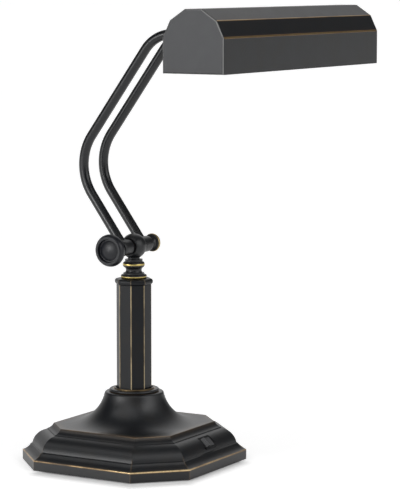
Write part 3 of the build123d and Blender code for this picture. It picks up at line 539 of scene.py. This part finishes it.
class Growth(Graph):
    """A Geometry Nodes tree with named sizes, that ends in real faces with one finish."""

    def __init__(self, name, sizes):
        super().__init__(bpy.data.node_groups.new(name, "GeometryNodeTree"))
        self.name = name
        self.sizes = sizes
        ports = self.tree.interface
        ports.new_socket("Geometry", in_out="OUTPUT", socket_type="NodeSocketGeometry")
        ports.new_socket("Geometry", in_out="INPUT", socket_type="NodeSocketGeometry")
        for size in sizes:
            ports.new_socket(size, in_out="INPUT", socket_type="NodeSocketFloat")
        given = self.tree.nodes.new("NodeGroupInput").outputs
        self.given = {socket.name: Value(self, socket) for socket in given if socket.name}

    def grow(self, geometry, material, start=None):
        """Close the tree, grow it once on an object and return the plain mesh."""
        real = self.node("GeometryNodeRealizeInstances", None, {0: geometry})
        dressed = self.node("GeometryNodeSetMaterial", None, {"Geometry": real, "Material": material})
        self.feed(self.tree.nodes.new("NodeGroupOutput").inputs[0], dressed)
        seed = bpy.data.objects.new(self.name, start or bpy.data.meshes.new(self.name))
        scene.collection.objects.link(seed)
        modifier = seed.modifiers.new("grow", "NODES")
        modifier.node_group = self.tree
        for port in self.tree.interface.items_tree:
            if port.in_out == "INPUT" and port.name in self.sizes:
                modifier[port.identifier] = self.sizes[port.name]
        bpy.context.view_layer.update()
        ready = seed.evaluated_get(bpy.context.evaluated_depsgraph_get())
        mesh = bpy.data.meshes.new_from_object(ready)
        mesh.materials.clear()
        mesh.materials.append(material)
        seed.modifiers.remove(modifier)
        bpy.data.objects.remove(seed)
        return mesh


def keep(mesh, name, body, *stands_for, wall, crease=40.0):
    """Give a skin its wall, make it a finished piece of its body and hide what it stands for."""
    piece = bpy.data.objects.new(name, mesh)
    scene.collection.objects.link(piece)
    thick = piece.modifiers.new("wall", "SOLIDIFY")
    thick.thickness = wall
    thick.offset = -1.0
    bpy.context.view_layer.update()
    ready = piece.evaluated_get(bpy.context.evaluated_depsgraph_get())
    piece.data = bpy.data.meshes.new_from_object(ready)
    piece.modifiers.clear()
    piece.data.shade_smooth()
    piece.data.set_sharp_from_angle(angle=radians(crease))
    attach(piece, body)
    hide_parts(*stands_for)
    return piece


def path(name, points):
    """A bare line through points, for a tree to follow."""
    bare = bpy.data.curves.new(name, "CURVE")
    bare.dimensions = "3D"
    run = bare.splines.new("POLY")
    run.points.add(len(points) - 1)
    for place, point in zip(run.points, points):
        place.co = (*point, 1.0)
    return bare


def grow_tube(name, points, sizes):
    """A round skin along a line whose two corners are bent round."""
    tree = Growth(name, sizes)
    given = tree.given
    corner = tree.node("GeometryNodeInputIndex") - 1.0
    bend = given["Elbow Bend"] + corner * (given["Crook Bend"] - given["Elbow Bend"])
    bends = {"Curve": given["Geometry"], "Count": 28, "Radius": bend}
    route = tree.node("GeometryNodeFilletCurve", {"mode": "POLY"}, bends)
    round_tube = {"Resolution": 48, "Radius": given["Radius"]}
    ring = tree.node("GeometryNodeCurvePrimitiveCircle", None, round_tube)
    skin = tree.node("GeometryNodeCurveToMesh", None, {"Curve": route, "Profile Curve": ring})
    return tree.grow(skin, FINISHES["tube"].material, path(name, points))


def grow_thread(name, sizes, start, turned, around, steps):
    """A threaded sleeve from a start, turned out of the upright. Its thread fades at both ends."""
    tree = Growth(name, sizes)
    given = tree.given
    rows = int(sizes["Length"] / sizes["Pitch"] * steps)
    grid = {"Size X": 1.0, "Size Y": 1.0, "Vertices X": around + 1, "Vertices Y": rows + 1}
    sheet = tree.node("GeometryNodeMeshGrid", None, grid)
    across, along, _ = tree.split(tree.node("GeometryNodeInputPosition"))
    turn = across + 0.5
    rise = along + 0.5
    turns = rise * given["Length"] / given["Pitch"] - turn
    wave = 0.5 + 0.5 * tree.math("COSINE", turns * (2 * pi))
    height = rise * given["Length"]
    ends = tree.least(height, given["Length"] - height) / given["Pitch"] - 0.5
    fade = tree.most(tree.least(ends, 1.0), 0.0)
    radius = given["Core"] + (given["Crest"] - given["Core"]) * wave * fade
    angle = turn * (2 * pi)
    spot = tree.vector(radius * tree.math("COSINE", angle), radius * tree.math("SINE", angle), height)
    skin = tree.node("GeometryNodeSetPosition", None, {"Geometry": sheet, "Position": spot})
    closed = tree.node("GeometryNodeMergeByDistance", None, {"Geometry": skin, "Distance": 1e-6})
    placed = {"Geometry": closed, "Translation": start, "Rotation": turned}
    sleeve = tree.node("GeometryNodeTransform", None, placed)
    return tree.grow(sleeve, FINISHES["zinc"].material)


# Each tube runs from axle to axle, and is bent round at the elbow and at the crook.
ARM_FOOT = JOINTS["arm_tilt"]
ELBOW = Vector((0.0, 62.4, 316.5)) * MM
CROOK = Vector((0.0, -40.7, 458.1)) * MM
ARM_HEAD = JOINTS["shade_tilt"]
TUBE_SPREAD = 19.2 * MM  # from the middle to each tube
TUBE_SEAT = 4.0 * MM  # a tube ends this far from its axle
TUBE_WALL = 1.0 * MM
TUBE_SIZES = {"Radius": 5.15 * MM, "Elbow Bend": 53.0 * MM, "Crook Bend": 40.0 * MM}
lower_end = ARM_FOOT + TUBE_SEAT * (ELBOW - ARM_FOOT).normalized()
upper_end = ARM_HEAD + TUBE_SEAT * (CROOK - ARM_HEAD).normalized()
for name, side in {"left": -1, "right": 1}.items():
    across = Vector((side * TUBE_SPREAD, 0.0, 0.0))
    route = [point + across for point in (lower_end, ELBOW, CROOK, upper_end)]
    bent = grow_tube(f"bent_tube_{name}", route, TUBE_SIZES)
    keep(bent, f"bent_tube_{name}", "arm", f"arm_tube_{name}", wall=TUBE_WALL)

NIPPLE_WALL = 0.95 * MM
low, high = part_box("shade_nipple")
middle = (low + high) / 2
NIPPLE_SIZES = {"Core": 3.55 * MM, "Crest": 4.0 * MM, "Pitch": 0.94 * MM, "Length": high.y - low.y}
NIPPLE_START = Vector((middle.x, high.y, middle.z))
FORWARDS = (pi / 2, 0.0, 0.0)  # the turn from upright to the lamp's front
nipple = grow_thread("threaded_nipple", NIPPLE_SIZES, NIPPLE_START, FORWARDS, around=24, steps=5)
keep(nipple, "threaded_nipple", "shade", "shade_nipple", wall=NIPPLE_WALL, crease=60.0)

# ---- camera ----

eye = Vector((-2.0425, -1.2735, 0.5190))
aim = Vector((0.0354, -0.0607, 0.2321))
camera = bpy.data.objects.new("camera", bpy.data.cameras.new("camera"))
scene.collection.objects.link(camera)
camera.location = eye
camera.rotation_euler = (aim - eye).to_track_quat("-Z", "Y").to_euler()
camera.data.sensor_fit = "VERTICAL"
camera.data.sensor_height = 36.0
camera.data.lens = 168.28
camera.data.clip_end = 100.0
scene.camera = camera

# ---- studio ----

# The soft lights stand all round the lamp, in rings of one elevation and one half-width. Each
# has its azimuth, and how bright it is beside a white surface. Angles are in degrees.
LIGHT_RINGS = [
    (4, 26, {30: 0.46, 60: 0.52, 150: 1.0, 180: 1.25, 270: 0.6, 300: 0.4}),
    (30, 26, {0: 0.1, 30: 0.84, 270: 1.7, 300: 0.25}),
    (56, 26, {0: 0.28, 45: 0.2, 180: 1.1, 225: 0.3}),
    (42, 10, {180: 0.6, 190: 0.8, 258: 2.8}),
    (50, 9, {136: 3.2}),
    (25, 10, {270: 0.7}),
    (8, 10, {149: 5.0, 160: 8.8}),
]
LIGHT_FULL = 0.45  # of a light's half-width, where it is at its full strength
LIGHT_END = 1.15  # of its half-width, where it has faded
WHITE = colour(1.0, 1.0, 1.0)
BLACK = colour(0.0, 0.0, 0.0)


def light_world():
    """Soft lights all round, behind a white background."""
    world = bpy.data.worlds.new("studio")
    world.use_nodes = True
    studio = Graph(world.node_tree)
    way = studio.node("ShaderNodeTexCoord", output="Generated")
    level = 0.0
    for elevation, width, lights in LIGHT_RINGS:
        rise = radians(elevation)
        full, end = cos(radians(LIGHT_FULL * width)), cos(radians(LIGHT_END * width))
        for azimuth, strength in lights.items():
            turn = radians(azimuth)
            middle = (cos(rise) * cos(turn), cos(rise) * sin(turn), sin(rise))
            toward = {"operation": "DOT_PRODUCT"}
            near = studio.node("ShaderNodeVectorMath", toward, {0: way, 1: middle}, output=1)
            level = level + studio.step(near, end, full, at_high=strength)
    open_view = studio.seen_by("Is Camera Ray", "Is Transmission Ray")
    sky = world.node_tree.nodes["Background"].inputs
    studio.feed(sky["Color"], studio.blend(open_view, studio.vector(level, level, level), WHITE))
    sky["Strength"].default_value = 1.0
    return world


FLOOR_REACH = 60.0
FLOOR_TONE = 0.82
# The floor's glow fills its tone up to white. It is stronger near the lamp: painted light that lifts the
# lamp's broad shade on the floor there.
NEAR_GLOW = 0.525
FAR_GLOW = 0.452
GLOW_RADII = (150.0, 700.0)  # in millimetres
# The painted shadow on the floor: a soft dark band on one side of the foot, in degrees and millimetres.
SHADOW_TURN = 32.0  # it falls away from this azimuth
SHADOW_REACH = 18.0
SHADOW_EDGE = (-9.0, 10.0)  # it fades between these distances inside its outline
SHADOW_ENDS = (-60.0, -40.0)  # it fades between these sums of x and y
SHADOW_DEPTH = 0.76


def floor_finish():
    """A white floor that keeps the lamp's shadow, with a painted shadow, a soft dark band, beside the
    foot.
    """
    ground = Finish("floor", Roughness=0.9, Specular_IOR_Level=0.0, Emission_Strength=1.0)
    ground.give("Base Color", colour(FLOOR_TONE, FLOOR_TONE, FLOOR_TONE))
    # A painted shadow: the glow is dimmed in a band in front of the foot.
    turn = radians(SHADOW_TURN)
    beside = ground.x + SHADOW_REACH * cos(turn), ground.y + SHADOW_REACH * sin(turn)
    painted_shadow = ground.step(ground.least(*foot_insets(ground, *beside)), *SHADOW_EDGE)
    painted_shadow = painted_shadow * ground.step(ground.x + ground.y, *SHADOW_ENDS, at_low=1.0, at_high=0.0)
    radius = ground.length(ground.x, ground.y)
    glow = ground.step(radius, *GLOW_RADII, at_low=NEAR_GLOW, at_high=FAR_GLOW)
    glow = glow * (1.0 - SHADOW_DEPTH * painted_shadow)
    open_view = ground.seen_by("Is Camera Ray", "Is Glossy Ray", "Is Transmission Ray")
    ground.give("Emission Color", ground.blend(open_view, BLACK, ground.vector(glow, glow, glow)))
    return ground


scene.world = light_world()
floor_data = bpy.data.meshes.new("floor")
square = [(FLOOR_REACH * x, FLOOR_REACH * y, 0.0) for x, y in ((-1, -1), (1, -1), (1, 1), (-1, 1))]
floor_data.from_pydata(square, [], [(0, 1, 2, 3)])
floor_data.materials.append(floor_finish().material)
floor = bpy.data.objects.new("floor", floor_data)
scene.collection.objects.link(floor)

scene.view_settings.view_transform = "Standard"
